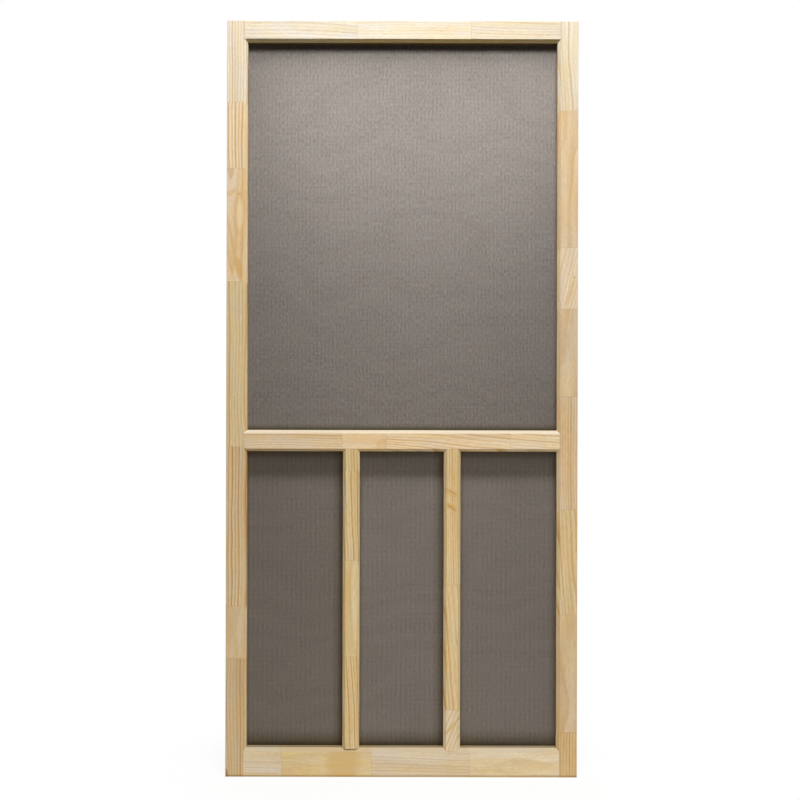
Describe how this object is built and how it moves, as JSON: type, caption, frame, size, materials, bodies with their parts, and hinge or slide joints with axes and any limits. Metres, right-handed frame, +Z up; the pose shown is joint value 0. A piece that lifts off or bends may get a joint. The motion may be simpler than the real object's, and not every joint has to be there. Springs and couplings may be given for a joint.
{
  "type": "wooden screen door",
  "caption": "Pine screen door leaf with chamfered stiles, rails and mullions, a large upper screen over narrow lower screens, and spline-held mesh at the back.",
  "frame": {"origin": "on the flat outer edge of the left stile, at mid-thickness, at the door's foot", "axes": "+X across the door away from the hinge edge, +Y from the front face to the back, +Z up"},
  "size_m": [0.9208, 0.0286, 1.9812],
  "materials": {
    "pine": "bare planed and sanded finger-jointed pine",
    "screen_cloth": "woven coated-glass insect screen, matte grey",
    "spline_vinyl": "black foamed vinyl cord, matte"
  },
  "bodies": {
    "root": {"left_stile": "pine", "right_stile": "pine", "top_rail": "pine", "middle_rail": "pine", "bottom_rail": "pine", "left_mullion": "pine", "right_mullion": "pine", "upper_screen": "screen_cloth", "upper_spline_left": "spline_vinyl", "upper_spline_right": "spline_vinyl", "upper_spline_top": "spline_vinyl", "upper_spline_bottom": "spline_vinyl", "lower_left_screen": "screen_cloth", "lower_left_spline_left": "spline_vinyl", "lower_left_spline_right": "spline_vinyl", "lower_left_spline_top": "spline_vinyl", "lower_left_spline_bottom": "spline_vinyl", "lower_middle_screen": "screen_cloth", "lower_middle_spline_left": "spline_vinyl", "lower_middle_spline_right": "spline_vinyl", "lower_middle_spline_top": "spline_vinyl", "lower_middle_spline_bottom": "spline_vinyl", "lower_right_screen": "screen_cloth", "lower_right_spline_left": "spline_vinyl", "lower_right_spline_right": "spline_vinyl", "lower_right_spline_top": "spline_vinyl", "lower_right_spline_bottom": "spline_vinyl"}
  },
  "joints": []
}
